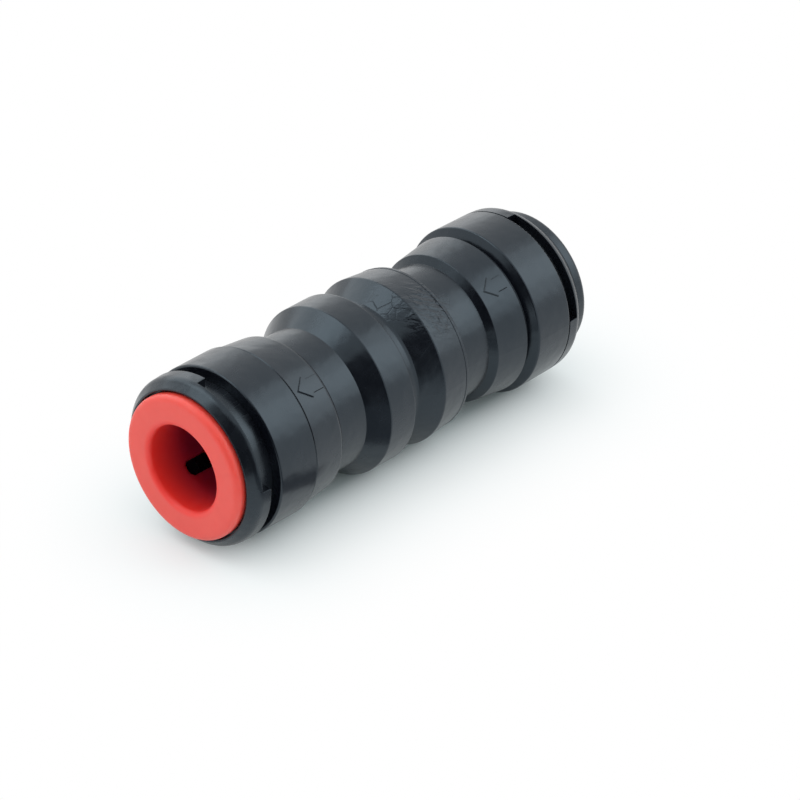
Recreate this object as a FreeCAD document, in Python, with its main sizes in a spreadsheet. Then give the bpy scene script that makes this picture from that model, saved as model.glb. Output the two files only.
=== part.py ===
import FreeCAD, Part
import Sketcher
import os

# Inline non-return valve for a push-in tube.
# All sizes in millimetres.
# Row frame: the flow runs along +X, from the inlet at -X to the outlet at +X.
# +Z is up and +Y is the side that faces the viewer.
# The origin is on the axis, halfway between the two rims of the shell.
# Every end piece is drawn from its own outer face inward.

SIZES = {
    # tube
    "tube_r": 6.0,
    # outlet half of the shell, lengths in the order they come from its rim
    "band_len": 6.43,
    "fine_groove_len": 0.18,
    "shoulder_slope_len": 6.04,
    "waist_len": 5.22,
    "flare_len": 2.72,
    "ring_len": 4.66,
    "groove_floor_len": 2.61,
    # outlet half of the shell, steps in radius
    "mouth_wall": 1.66,
    "band_drop": 0.22,
    "fine_groove_depth": 0.14,
    "shoulder_drop": 0.85,
    "waist_wall": 1.45,
    "ring_rise": 0.03,
    # inlet half of the shell, lengths in the order they come from its rim
    "mouth_edge_len": 6.29,
    "edge_slope_len": 0.81,
    "collar_neck_len": 0.73,
    "collar_len": 5.19,
    "collar_slope_len": 0.79,
    "barrel_len": 5.87,
    "stop_ring_len": 5.13,
    "cone_len": 3.08,
    # inlet half of the shell, steps in radius
    "edge_rise": 0.09,
    "collar_neck_drop": 1.4,
    "collar_back_drop": 0.64,
    "collar_front_drop": 1.27,
    "barrel_wall": 1.15,
    "stop_ring_drop": 0.47,
    # rounds on the shell
    "edge_round": 0.3,
    "fine_round": 0.15,
    "shoulder_round": 0.9,
    "foot_round": 0.8,
    # tube socket
    "tube_clear": 0.1,
    "cap_end_gap": 0.4,
    "head_room": 0.7,
    "spacer_len": 1.6,
    "tube_seat_len": 3.4,
    "stop_wall": 1.3,
    "port_r": 5.0,
    "chamber_r": 8.0,
    # weld spigot between the two halves
    "spigot_wall": 1.35,
    "spigot_step": 0.45,
    "spigot_len": 5.5,
    "weld_gap": 0.02,
    "end_gap": 0.1,
    "joint_groove_at": 2.0,
    "joint_seal_wire_r": 0.375,
    "joint_seal_play": 0.35,
    # end cap
    "cap_stand": 1.88,
    "cap_turn": 90.0,
    "skirt_len": 3.1,
    "skirt_mid": 1.8,
    "skirt_drop": 0.1,
    "lip_drop": 1.25,
    "lip_width": 0.3,
    "lip_round": 0.12,
    "recess_depth": 1.2,
    "dome_round": 1.5,
    "cap_fit": 0.04,
    "cap_bore_clear": 0.35,
    "cap_barrel_wall": 1.5,
    "cap_cone_back": 2.13,
    "cap_nose_chamfer": 0.4,
    "cap_nose_len": 0.2,
    "bead_near": 4.6,
    "bead_len": 0.8,
    "bead_slope": 0.2,
    "bead_height": 0.3,
    "bead_clear": 0.06,
    "window_depth": 1.46,
    "window_angle": 87.0,
    "window_start": 1.5,
    # collet
    "flange_out": 6.2,
    "inlet_push": 0.85,
    "flange_len": 1.8,
    "flange_gap": 0.25,
    "flange_round": 0.75,
    "collet_clear": 0.08,
    "collet_bore_len": 5.3,
    "bore_round": 0.6,
    "finger_relief": 0.22,
    "finger_slope_len": 2.0,
    "neck_wall": 1.32,
    "head_step": 1.1,
    "head_clear": 0.3,
    "head_len": 4.0,
    "head_chamfer": 0.3,
    "collet_rest_gap": 0.08,
    "slot_half": 1.1,
    "slot_corner": 0.5,
    "slot_turn": 45.0,
    "collet_travel": 1.6,
    # grip teeth
    "tooth_setback": 1.5,
    "tooth_thick": 0.56,
    "tooth_fit": 0.02,
    "tooth_depth": 1.28,
    "tooth_waist": 0.42,
    "tooth_bite": 0.08,
    "tooth_tip_len": 0.14,
    "tooth_gap": 3.2,
    # tube seal and its spacer
    "spacer_clear": 0.3,
    "spacer_gap": 0.1,
    "spacer_fit": 0.02,
    "seal_wire_r": 1.32,
    "seal_squeeze": 0.09,
    "seal_play": 0.26,
    "seal_fit": 0.02,
    # valve seat
    "seat_fit": 0.05,
    "seat_bore_r": 4.8,
    "seat_cone": 1.165,
    "seat_len": 4.8,
    "seat_groove_at": 1.5,
    "seat_seal_wire_r": 0.6,
    "seat_seal_play": 0.3,
    "seat_seal_fit": 0.03,
    "seat_seal_gap": 0.02,
    # poppet
    "poppet_seal_wire_r": 0.9,
    "poppet_seal_inset": 0.05,
    "seal_contact_gap": 0.03,
    "poppet_groove_fit": 0.05,
    "poppet_core_gap": 0.02,
    "poppet_head_drop": 0.05,
    "poppet_head_len": 1.0,
    "poppet_back_len": 0.45,
    "poppet_back_rim": 1.0,
    "stem_r": 1.2,
    "stem_short": 0.25,
    "nose_clear": 0.45,
    "nose_edge_len": 0.75,
    "nose_slope_len": 1.1,
    "nose_round_len": 1.0,
    "nose_tip_r": 1.1,
    "nose_mid_r": 3.1,
    "nose_peg_r": 1.3,
    "nose_peg_len": 1.5,
    "peg_fit": 0.02,
    # cage with the stem guide
    "cage_wall": 0.85,
    "cage_gap": 0.05,
    "guide_from_end": 2.9,
    "guide_len": 2.4,
    "hub_rim": 0.6,
    "hub_hole_fit": 0.07,
    "guide_window_turn": 66.0,
    # return spring
    "spring_wire_r": 0.225,
    "spring_clear": 1.1,
    "spring_turns": 5.0,
    "spring_seat_gap": 0.03,
}

# What fits, seats or lines up follows the sizes above as a sum of them.
# Radii of the socket grow outward from the tube, through the collet and the cap, to the rim.
SUMS = {
    # collet, from the tube outward
    "collet_bore_r": "tube_r + collet_clear",
    "finger_r": "collet_bore_r + finger_relief",
    "neck_r": "collet_bore_r + neck_wall",
    "head_r": "neck_r + head_step",
    # cap round the collet
    "cap_bore_r": "neck_r + cap_bore_clear",
    "cap_inner_r": "head_r + head_clear",
    "cap_barrel_r": "cap_inner_r + cap_barrel_wall",
    "cap_barrel_len": "bead_near + bead_len + cap_nose_len + cap_nose_chamfer",
    "cap_cone": "cap_barrel_len - cap_cone_back",
    "bead_far": "bead_near + bead_len",
    "bead_r": "mouth_r + bead_height - bead_clear",
    # shell round the cap
    "mouth_r": "cap_barrel_r + cap_fit",
    "mouth_len": "cap_barrel_len + cap_end_gap",
    "rim_r": "mouth_r + mouth_wall",
    "lip_r": "rim_r - lip_drop",
    "recess_r": "lip_r - lip_width",
    "skirt_mid_r": "rim_r - skirt_drop",
    "flange_r": "recess_r - flange_gap",
    # lengths of the collet, which rests on the cap's cone
    "head_start": "flange_out + cap_cone + neck_r - cap_bore_r + collet_rest_gap",
    "collet_len": "head_start + head_len",
    # grip teeth in the head
    "tooth_back": "collet_len - tooth_setback",
    "tooth_near": "tooth_back - tooth_thick",
    "tooth_root_r": "tube_r + tooth_depth",
    "tooth_waist_r": "tube_r + tooth_waist",
    "tooth_tip_r": "tube_r - tooth_bite",
    # rest of the socket, inward from the collet
    "pocket_r": "head_r + head_room",
    "spacer_start": "collet_len - flange_out + collet_travel + spacer_gap",
    "pocket_end": "spacer_start + spacer_len",
    "spacer_hole_r": "tube_r + spacer_clear",
    "seal_pocket_r": "tube_r + seal_wire_r + seal_wire_r - seal_squeeze",
    "seal_pocket_end": "pocket_end + seal_wire_r + seal_wire_r + seal_play",
    "tube_bore_r": "tube_r + tube_clear",
    "tube_stop": "seal_pocket_end + tube_seat_len",
    "chamber_start": "tube_stop + stop_wall",
    # outside of the outlet half
    "band_r": "rim_r - band_drop",
    "band_start": "band_len + fine_groove_len",
    "shoulder_len": "band_start + shoulder_slope_len",
    "shoulder_r": "rim_r - shoulder_drop",
    "waist_r": "seal_pocket_r + waist_wall",
    "flare_start": "shoulder_len + waist_len",
    "ring_front": "flare_start + flare_len",
    "ring_back": "ring_front + ring_len",
    "ring_r": "rim_r + ring_rise",
    # outside of the inlet half
    "mouth_edge_r": "rim_r + edge_rise",
    "collar_neck": "mouth_edge_len + edge_slope_len",
    "collar_neck_r": "rim_r - collar_neck_drop",
    "collar_back": "collar_neck + collar_neck_len",
    "collar_back_r": "rim_r - collar_back_drop",
    "collar_front": "collar_back + collar_len",
    "collar_front_r": "rim_r - collar_front_drop",
    "barrel_front": "collar_front + collar_slope_len",
    "barrel_r": "seal_pocket_r + barrel_wall",
    "stop_ring_back": "barrel_front + barrel_len",
    "stop_ring_back_r": "rim_r - stop_ring_drop",
    "stop_ring_front": "stop_ring_back + stop_ring_len",
    "cone_foot": "stop_ring_front + cone_len",
    "inlet_half_len": "cone_foot + groove_floor_len",
    # spigot and its seal
    "spigot_r": "chamber_r + spigot_wall",
    "spigot_end": "inlet_half_len + spigot_len",
    "spigot_socket": "ring_back - spigot_len - end_gap",
    "groove_r": "spigot_r + spigot_step",
    "joint_groove_r": "spigot_r - joint_seal_wire_r - joint_seal_wire_r",
    "joint_groove_len": "joint_seal_wire_r + joint_seal_wire_r + joint_seal_play",
    "joint_groove_start": "inlet_half_len + joint_groove_at",
    "joint_groove_end": "joint_groove_start + joint_groove_len",
    # valve seat and its seal
    "seat_r": "chamber_r - seat_fit",
    "seat_start": "chamber_start + cage_gap",
    "seat_end": "seat_start + seat_len",
    "seat_groove_r": "chamber_r - seat_seal_fit - seat_seal_wire_r - seat_seal_wire_r - seat_seal_gap",
    "seat_groove_start": "seat_start + seat_groove_at",
    "seat_groove_len": "seat_seal_wire_r + seat_seal_wire_r + seat_seal_play",
    "seat_groove_end": "seat_groove_start + seat_groove_len",
    # poppet, drawn from the centre of its seal ring, which rests on the seat's cone
    "poppet_seal_r": "seat_bore_r - poppet_seal_inset",
    "seal_centre": "seat_end - seat_cone - poppet_seal_inset + seal_contact_stand",
    "poppet_core_r": "poppet_seal_r - poppet_seal_wire_r - poppet_core_gap",
    "poppet_head_r": "poppet_seal_r + poppet_seal_wire_r - poppet_head_drop",
    "head_face": "poppet_seal_wire_r + poppet_groove_fit",
    "head_end": "head_face + poppet_head_len",
    "head_back": "head_end + poppet_back_len",
    "nose_face": "- poppet_seal_wire_r - poppet_groove_fit",
    "peg_end": "nose_face + nose_peg_len",
    "nose_r": "seat_bore_r - nose_clear",
    "nose_edge": "nose_face - nose_edge_len",
    "nose_mid": "nose_edge - nose_slope_len",
    "nose_tip": "nose_mid - nose_round_len",
    "stem_end": "guide_end - stem_short - seal_centre",
    # cage, from the inlet's rim to the wall at the outlet side of the chamber
    "cage_inner_r": "seat_r - cage_wall",
    "cage_start": "seat_end + cage_gap",
    "cage_end": "ring_back + inlet_half_len - chamber_start - cage_gap",
    "guide_end": "cage_end - guide_from_end",
    "guide_start": "guide_end - guide_len",
    # return spring, from the poppet's back to the hub
    "spring_r": "stem_r + spring_clear",
    "poppet_back_r": "spring_r + poppet_back_rim",
    "hub_r": "spring_r + hub_rim",
    "hub_hole_r": "stem_r + hub_hole_fit",
    "spring_end_space": "spring_seat_gap + spring_wire_r",
    "spring_start": "seal_centre + head_back + spring_end_space",
    "spring_len": "guide_start - spring_end_space - spring_start",
}

# A few distances are a sum times a factor.
# Along the axis, a cone at 45 degrees lies the square root of two times the gap away.
HALF = 0.5
SLANT = 2 ** 0.5
SCALED = {
    "half_length": ("ring_back + inlet_half_len", HALF),
    "tube_seal_at": ("pocket_end + seal_pocket_end", HALF),
    "joint_seal_at": ("joint_groove_start + joint_groove_end", HALF),
    "seat_seal_at": ("seat_groove_start + seat_groove_end", HALF),
    "seal_contact_stand": ("poppet_seal_wire_r + seal_contact_gap", SLANT),
}

CAP_WINDOWS = 2
COLLET_SLOTS = 4
GUIDE_WINDOWS = 4
FULL_TURN = 360.0
HALF_TURN = 180.0
QUARTER_TURN = 90.0

doc = FreeCAD.newDocument("Valve")
sheet = doc.addObject("Spreadsheet::Sheet", "Dims")
for row, (word, size) in enumerate(SIZES.items(), start=1):
    sheet.set("A%d" % row, word)
    sheet.set("B%d" % row, str(size))
    sheet.setAlias("B%d" % row, word)
doc.recompute()


def amount(text):
    """Value of a sum of names, such as "rim_r - cap_fit"."""
    total = 0.0
    sign = 1.0
    for word in text.split():
        if word == "+":
            sign = 1.0
        elif word == "-":
            sign = -1.0
        elif word in SIZES:
            total += sign * SIZES[word]
        elif word in SCALED:
            inner, factor = SCALED[word]
            total += sign * factor * amount(inner)
        else:
            total += sign * amount(SUMS[word])
    return total


def formula(text):
    """The same sum written for the sheet, down to its cells."""
    words = []
    for word in text.split():
        if word in "+-":
            words.append(word)
        elif word in SIZES:
            words.append("Dims." + word)
        elif word in SCALED:
            inner, factor = SCALED[word]
            words.append("(%r * (%s))" % (factor, formula(inner)))
        else:
            words.append("(" + formula(SUMS[word]) + ")")
    return " ".join(words)


def plane_of(body, role):
    """One of a body's own origin planes or axes."""
    for item in body.Origin.OriginFeatures:
        if item.Role == role:
            return item
    return None


def bind(thing, prop, text):
    """Tie one property to a sum of names."""
    thing.setExpression(prop, formula(text))


def draw_outline(sketch, corners):
    """Closed outline through corners given as pairs of sums; every corner is tied to the sheet."""
    points = [FreeCAD.Vector(amount(x), amount(y), 0) for x, y in corners]
    count = len(points)
    for i in range(count):
        sketch.addGeometry(Part.LineSegment(points[i], points[(i + 1) % count]), False)
    for i in range(count):
        sketch.addConstraint(Sketcher.Constraint("Coincident", i, 2, (i + 1) % count, 1))
    for i, (x, y) in enumerate(corners):
        tie_corner(sketch, i, "DistanceX", -2, x)
        tie_corner(sketch, i, "DistanceY", -1, y)


def tie_corner(sketch, line, kind, axis, text):
    """Tie one coordinate of a line's start; a corner with no offset lies on the axis itself."""
    if not text:
        sketch.addConstraint(Sketcher.Constraint("PointOnObject", line, 1, axis))
        return
    index = sketch.addConstraint(Sketcher.Constraint(kind, -1, 1, line, 1, amount(text)))
    sketch.setExpression("Constraints[%d]" % index, formula(text))


def new_body(label):
    body = doc.addObject("PartDesign::Body", label)
    body.Label = label
    return body


def new_sketch(body, name, role="XY_Plane"):
    sketch = body.newObject("Sketcher::SketchObject", name)
    sketch.AttachmentSupport = (plane_of(body, role), [""])
    sketch.MapMode = "FlatFace"
    return sketch


def turned(body, name, corners):
    """Turn an outline about the valve's axis into solid."""
    sketch = new_sketch(body, name + "_outline")
    draw_outline(sketch, corners)
    feature = body.newObject("PartDesign::Revolution", name)
    feature.Profile = sketch
    feature.ReferenceAxis = (sketch, ["H_Axis"])
    feature.Angle = FULL_TURN
    sketch.Visibility = False
    doc.recompute()
    return feature


def round_edges(body, base, name, radius, places):
    """Round the circular edges that lie at the named distances and radii."""
    found = []
    for x, r in places:
        for i, edge in enumerate(base.Shape.Edges, start=1):
            curve = edge.Curve
            if curve.TypeId != "Part::GeomCircle":
                continue
            near_r = abs(curve.Radius - amount(r)) < 1e-4
            near_x = abs(curve.Center.x - amount(x)) < 1e-4
            if near_r and near_x:
                found.append("Edge%d" % i)
    feature = body.newObject("PartDesign::Fillet", name)
    feature.Base = (base, found)
    bind(feature, "Radius", radius)
    doc.recompute()
    return feature


def repeat(body, feature, name, count):
    """Repeat a cut evenly round the valve's axis."""
    pattern = body.newObject("PartDesign::PolarPattern", name)
    pattern.Originals = [feature]
    pattern.Axis = (plane_of(body, "X_Axis"), [""])
    pattern.Angle = FULL_TURN
    body.Tip = pattern
    pattern.Occurrences = count
    doc.recompute()
    return pattern


def place_inlet(thing, offset="", turn=0.0):
    """Put a piece at the inlet end: it is drawn inward along +X."""
    spin = FreeCAD.Rotation(FreeCAD.Vector(1, 0, 0), turn)
    thing.Placement = FreeCAD.Placement(FreeCAD.Vector(0, 0, 0), spin)
    bind(thing, ".Placement.Base.x", "- half_length " + offset)


def place_outlet(thing, offset="", turn=0.0):
    """Put a piece at the outlet end: half a turn about Z, then out to its place."""
    spin = FreeCAD.Rotation(FreeCAD.Vector(1, 0, 0), turn)
    about = FreeCAD.Rotation(FreeCAD.Vector(0, 0, 1), HALF_TURN)
    thing.Placement = FreeCAD.Placement(FreeCAD.Vector(0, 0, 0), about.multiply(spin))
    bind(thing, ".Placement.Base.x", "half_length " + offset)


# Socket bore shared by both halves of the shell, listed from the inner end out to the mouth.
# The groove for the cap's bead moves out with a cap that stands proud.
def socket_bore(bead_shift=""):
    groove_far = "bead_far + bead_clear " + bead_shift
    groove_near = "bead_near - bead_clear " + bead_shift
    return [
        ("chamber_start", "chamber_r"),
        ("chamber_start", "port_r"),
        ("tube_stop", "port_r"),
        ("tube_stop", "tube_bore_r"),
        ("seal_pocket_end", "tube_bore_r"),
        ("seal_pocket_end", "seal_pocket_r"),
        ("pocket_end", "seal_pocket_r"),
        ("pocket_end", "pocket_r"),
        ("mouth_len", "pocket_r"),
        ("mouth_len", "mouth_r"),
        (groove_far, "mouth_r"),
        (groove_far, "mouth_r + bead_height"),
        (groove_near, "mouth_r + bead_height"),
        (groove_near, "mouth_r"),
        ("", "mouth_r"),
    ]


# Outlet half of the shell: mouth band, fine step, shoulder, waist, ring and the socket for the spigot.
outlet_body = new_body("outlet_body")
outlet_shell = turned(outlet_body, "outlet_shell", [
    ("", "rim_r"),
    ("band_len", "rim_r"),
    ("band_len", "band_r - fine_groove_depth"),
    ("band_start", "band_r - fine_groove_depth"),
    ("band_start", "band_r"),
    ("shoulder_len", "shoulder_r"),
    ("shoulder_len", "waist_r"),
    ("flare_start", "waist_r"),
    ("ring_front", "ring_r"),
    ("ring_back", "ring_r"),
    ("ring_back", "spigot_r + weld_gap"),
    ("spigot_socket", "spigot_r + weld_gap"),
    ("spigot_socket", "chamber_r"),
] + socket_bore("- cap_stand"))
outlet_edges = round_edges(outlet_body, outlet_shell, "outlet_edges", "edge_round", [
    ("", "rim_r"),
    ("ring_front", "ring_r"),
    ("ring_back", "ring_r"),
])
outlet_shoulder = round_edges(outlet_body, outlet_edges, "outlet_shoulder", "shoulder_round", [
    ("shoulder_len", "shoulder_r"),
])
place_outlet(outlet_body)

# Inlet half of the shell: mouth band, collar, barrel, stop ring, groove floor and the weld spigot.
inlet_body = new_body("inlet_body")
inlet_shell = turned(inlet_body, "inlet_shell", [
    ("", "rim_r"),
    ("mouth_edge_len", "mouth_edge_r"),
    ("collar_neck", "collar_neck_r"),
    ("collar_back", "collar_neck_r"),
    ("collar_back", "collar_back_r"),
    ("collar_front", "collar_front_r"),
    ("barrel_front", "barrel_r"),
    ("stop_ring_back", "barrel_r"),
    ("stop_ring_back", "stop_ring_back_r"),
    ("stop_ring_front", "ring_r"),
    ("cone_foot", "groove_r"),
    ("inlet_half_len", "groove_r"),
    ("inlet_half_len", "spigot_r"),
    ("joint_groove_start", "spigot_r"),
    ("joint_groove_start", "joint_groove_r"),
    ("joint_groove_end", "joint_groove_r"),
    ("joint_groove_end", "spigot_r"),
    ("spigot_end", "spigot_r"),
    ("spigot_end", "chamber_r"),
] + socket_bore())
inlet_edges = round_edges(inlet_body, inlet_shell, "inlet_edges", "edge_round", [
    ("", "rim_r"),
    ("mouth_edge_len", "mouth_edge_r"),
    ("stop_ring_front", "ring_r"),
])
inlet_foot = round_edges(inlet_body, inlet_edges, "inlet_foot", "foot_round", [
    ("cone_foot", "groove_r"),
])
inlet_fine = round_edges(inlet_body, inlet_foot, "inlet_fine", "fine_round", [
    ("collar_back", "collar_back_r"),
    ("collar_front", "collar_front_r"),
    ("stop_ring_back", "stop_ring_back_r"),
])
place_inlet(inlet_body)


# End cap: skirt with two windows, recessed end face, and a barrel that holds the collet.
def make_cap(label):
    body = new_body(label)
    shell = turned(body, label + "_shell", [
        ("", "lip_r"),
        ("skirt_len - skirt_mid", "skirt_mid_r"),
        ("skirt_len", "rim_r"),
        ("skirt_len", "cap_barrel_r"),
        ("skirt_len + bead_near", "cap_barrel_r"),
        ("skirt_len + bead_near + bead_slope", "bead_r"),
        ("skirt_len + bead_far - bead_slope", "bead_r"),
        ("skirt_len + bead_far", "cap_barrel_r"),
        ("skirt_len + bead_far + cap_nose_len", "cap_barrel_r"),
        ("skirt_len + cap_barrel_len", "cap_barrel_r - cap_nose_chamfer"),
        ("skirt_len + cap_barrel_len", "cap_inner_r"),
        ("skirt_len + cap_cone + cap_inner_r - cap_bore_r", "cap_inner_r"),
        ("skirt_len + cap_cone", "cap_bore_r"),
        ("recess_depth", "cap_bore_r"),
        ("recess_depth", "recess_r"),
        ("", "recess_r"),
    ])
    dome = round_edges(body, shell, label + "_dome", "dome_round", [
        ("skirt_len - skirt_mid", "skirt_mid_r"),
    ])
    round_edges(body, dome, label + "_lip", "lip_round", [("", "lip_r"), ("", "recess_r")])
    cutter = new_sketch(body, label + "_window_outline")
    cutter.AttachmentOffset = FreeCAD.Placement(
        FreeCAD.Vector(0, 0, 0),
        FreeCAD.Rotation(FreeCAD.Vector(1, 0, 0), SIZES["window_start"]),
    )
    bind(cutter, ".AttachmentOffset.Rotation.Angle", "window_start")
    draw_outline(cutter, [
        ("skirt_len - window_depth", "cap_barrel_r"),
        ("skirt_len", "cap_barrel_r"),
        ("skirt_len", "rim_r + window_depth"),
        ("skirt_len - window_depth", "rim_r + window_depth"),
    ])
    window = body.newObject("PartDesign::Groove", label + "_window")
    window.Profile = cutter
    window.ReferenceAxis = (cutter, ["H_Axis"])
    bind(window, "Angle", "window_angle")
    cutter.Visibility = False
    doc.recompute()
    repeat(body, window, label + "_windows", CAP_WINDOWS)
    return body


outlet_cap = make_cap("outlet_cap")
place_outlet(outlet_cap, "+ cap_stand + skirt_len", SIZES["cap_turn"])
inlet_cap = make_cap("inlet_cap")
place_inlet(inlet_cap, "- skirt_len")


# Collet: outer flange, neck and a slotted head whose fingers spring inward on the cap's cone.
def make_collet(label):
    body = new_body(label)
    shell = turned(body, label + "_shell", [
        ("", "collet_bore_r"),
        ("", "flange_r"),
        ("flange_len", "flange_r"),
        ("flange_len", "neck_r"),
        ("head_start", "neck_r"),
        ("head_start + head_r - neck_r", "head_r"),
        ("collet_len - head_chamfer", "head_r"),
        ("collet_len", "head_r - head_chamfer"),
        ("collet_len", "finger_r"),
        ("tooth_back + tooth_fit", "finger_r"),
        ("tooth_back + tooth_fit", "tooth_root_r + tooth_fit"),
        ("tooth_near - tooth_fit", "tooth_root_r + tooth_fit"),
        ("tooth_near - tooth_fit", "finger_r"),
        ("collet_bore_len + finger_slope_len", "finger_r"),
        ("collet_bore_len", "collet_bore_r"),
    ])
    rim = round_edges(body, shell, label + "_rim", "flange_round", [("", "flange_r")])
    lip = round_edges(body, rim, label + "_lip", "bore_round", [("", "collet_bore_r")])
    round_edges(body, lip, label + "_back", "fine_round", [("flange_len", "flange_r")])
    outline = new_sketch(body, label + "_slot_outline", "XZ_Plane")
    draw_outline(outline, [
        ("collet_len + slot_half", "- slot_half"),
        ("collet_len + slot_half", "slot_half"),
        ("collet_bore_len + slot_corner", "slot_half"),
        ("collet_bore_len", "slot_half - slot_corner"),
        ("collet_bore_len", "slot_corner - slot_half"),
        ("collet_bore_len + slot_corner", "- slot_half"),
    ])
    slot = body.newObject("PartDesign::Pocket", label + "_slot")
    slot.Profile = outline
    slot.Type = "ThroughAll"
    outline.Visibility = False
    doc.recompute()
    repeat(body, slot, label + "_slots", COLLET_SLOTS)
    return body


# Steel grip teeth: one plate in each finger, with a thin edge that bites the tube.
def make_teeth(label):
    outline = doc.addObject("Sketcher::SketchObject", label + "_outline")
    draw_outline(outline, [
        ("tooth_near", "tooth_root_r"),
        ("tooth_back", "tooth_root_r"),
        ("tooth_back", "tooth_waist_r"),
        ("tooth_back", "tooth_tip_r"),
        ("tooth_back - tooth_tip_len", "tooth_tip_r"),
        ("tooth_near", "tooth_waist_r"),
    ])
    ring = doc.addObject("Part::Revolution", label + "_ring")
    ring.Source = outline
    ring.Axis = FreeCAD.Vector(1, 0, 0)
    ring.Base = FreeCAD.Vector(0, 0, 0)
    ring.Angle = FULL_TURN
    ring.Solid = True
    across = "flange_r + flange_r"
    gaps = [
        make_gap(label + "_gap_y", "tooth_gap", across),
        make_gap(label + "_gap_z", across, "tooth_gap"),
    ]
    cross = doc.addObject("Part::MultiFuse", label + "_gaps")
    cross.Shapes = gaps
    teeth = doc.addObject("Part::Cut", label)
    teeth.Base = ring
    teeth.Tool = cross
    teeth.Label = label
    doc.recompute()
    return teeth


def make_gap(label, wide, deep):
    """Long box centred on the axis, which parts the ring of teeth."""
    gap = doc.addObject("Part::Box", label)
    bind(gap, "Length", "collet_len")
    bind(gap, "Width", wide)
    bind(gap, "Height", deep)
    gap.setExpression(".Placement.Base.y", "-(" + formula(wide) + ") / 2")
    gap.setExpression(".Placement.Base.z", "-(" + formula(deep) + ") / 2")
    return gap


outlet_collet = make_collet("outlet_collet")
place_outlet(outlet_collet, "+ flange_out", SIZES["slot_turn"])
outlet_teeth = make_teeth("outlet_grip_teeth")
place_outlet(outlet_teeth, "+ flange_out", SIZES["slot_turn"])

# The inlet's collet lies a little pushed in.
inlet_collet = make_collet("inlet_collet")
place_inlet(inlet_collet, "- flange_out + inlet_push", SIZES["slot_turn"])
inlet_teeth = make_teeth("inlet_grip_teeth")
place_inlet(inlet_teeth, "- flange_out + inlet_push", SIZES["slot_turn"])


# Spacer that keeps the tube seal in its pocket.
def make_spacer(label):
    body = new_body(label)
    turned(body, label + "_ring", [
        ("spacer_start", "spacer_hole_r"),
        ("spacer_start", "pocket_r - spacer_fit"),
        ("pocket_end", "pocket_r - spacer_fit"),
        ("pocket_end", "spacer_hole_r"),
    ])
    return body


outlet_spacer = make_spacer("outlet_seal_spacer")
place_outlet(outlet_spacer)
inlet_spacer = make_spacer("inlet_seal_spacer")
place_inlet(inlet_spacer)


def make_ring_seal(label, wire, outer, along):
    """Round rubber ring: its wire radius, its outer radius and its place along X are sums."""
    ring = doc.addObject("Part::Torus", label)
    ring.Label = label
    ring.Placement.Rotation = FreeCAD.Rotation(FreeCAD.Vector(0, 1, 0), QUARTER_TURN)
    bind(ring, "Radius2", wire)
    bind(ring, "Radius1", outer + " - " + wire)
    bind(ring, ".Placement.Base.x", along)
    return ring


# Tube seals, centred in their pockets, and the seal between the two halves of the shell.
outlet_seal = make_ring_seal(
    "outlet_tube_seal", "seal_wire_r", "seal_pocket_r - seal_fit", "half_length - tube_seal_at")
inlet_seal = make_ring_seal(
    "inlet_tube_seal", "seal_wire_r", "seal_pocket_r - seal_fit", "tube_seal_at - half_length")
joint_seal = make_ring_seal(
    "body_joint_seal", "joint_seal_wire_r", "spigot_r", "joint_seal_at - half_length")

# Valve seat with its outer seal, against the wall at the inlet side of the chamber.
valve_seat = new_body("valve_seat")
turned(valve_seat, "seat_ring", [
    ("seat_start", "seat_bore_r"),
    ("seat_start", "seat_r"),
    ("seat_groove_start", "seat_r"),
    ("seat_groove_start", "seat_groove_r"),
    ("seat_groove_end", "seat_groove_r"),
    ("seat_groove_end", "seat_r"),
    ("seat_end", "seat_r"),
    ("seat_end", "seat_bore_r + seat_cone"),
    ("seat_end - seat_cone", "seat_bore_r"),
])
place_inlet(valve_seat)
seat_seal = make_ring_seal(
    "seat_seal", "seat_seal_wire_r", "chamber_r - seat_seal_fit", "seat_seal_at - half_length")

# Poppet with its stem; the seal ring sits behind the nose and closes on the seat's cone.
poppet = new_body("poppet")
turned(poppet, "poppet_turned", [
    ("peg_end + poppet_groove_fit", ""),
    ("peg_end + poppet_groove_fit", "nose_peg_r + peg_fit"),
    ("nose_face", "nose_peg_r + peg_fit"),
    ("nose_face", "poppet_core_r"),
    ("head_face", "poppet_core_r"),
    ("head_face", "poppet_head_r"),
    ("head_end", "poppet_head_r"),
    ("head_back", "poppet_back_r"),
    ("head_back", "stem_r"),
    ("stem_end", "stem_r"),
    ("stem_end", ""),
])
place_inlet(poppet, "+ seal_centre")
poppet_nose = new_body("poppet_nose")
turned(poppet_nose, "nose_turned", [
    ("nose_tip", ""),
    ("nose_tip", "nose_tip_r"),
    ("nose_mid", "nose_mid_r"),
    ("nose_edge", "nose_r"),
    ("nose_face", "nose_r"),
    ("nose_face", "nose_peg_r"),
    ("peg_end", "nose_peg_r"),
    ("peg_end", ""),
])
place_inlet(poppet_nose, "+ seal_centre")
poppet_seal = make_ring_seal(
    "poppet_seal", "poppet_seal_wire_r", "poppet_seal_r + poppet_seal_wire_r", "seal_centre - half_length")

# Cage: thin sleeve with a hub that guides the stem; four windows round the hub let the flow out.
poppet_cage = new_body("poppet_cage")
turned(poppet_cage, "cage_turned", [
    ("cage_start", "cage_inner_r"),
    ("cage_start", "seat_r"),
    ("cage_end", "seat_r"),
    ("cage_end", "cage_inner_r"),
    ("guide_end", "cage_inner_r"),
    ("guide_end", "hub_hole_r"),
    ("guide_start", "hub_hole_r"),
    ("guide_start", "cage_inner_r"),
])
guide_outline = new_sketch(poppet_cage, "guide_window_outline")
draw_outline(guide_outline, [
    ("guide_start - cage_gap", "hub_r"),
    ("guide_end + cage_gap", "hub_r"),
    ("guide_end + cage_gap", "cage_inner_r"),
    ("guide_start - cage_gap", "cage_inner_r"),
])
guide_window = poppet_cage.newObject("PartDesign::Groove", "guide_window")
guide_window.Profile = guide_outline
guide_window.ReferenceAxis = (guide_outline, ["H_Axis"])
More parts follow.
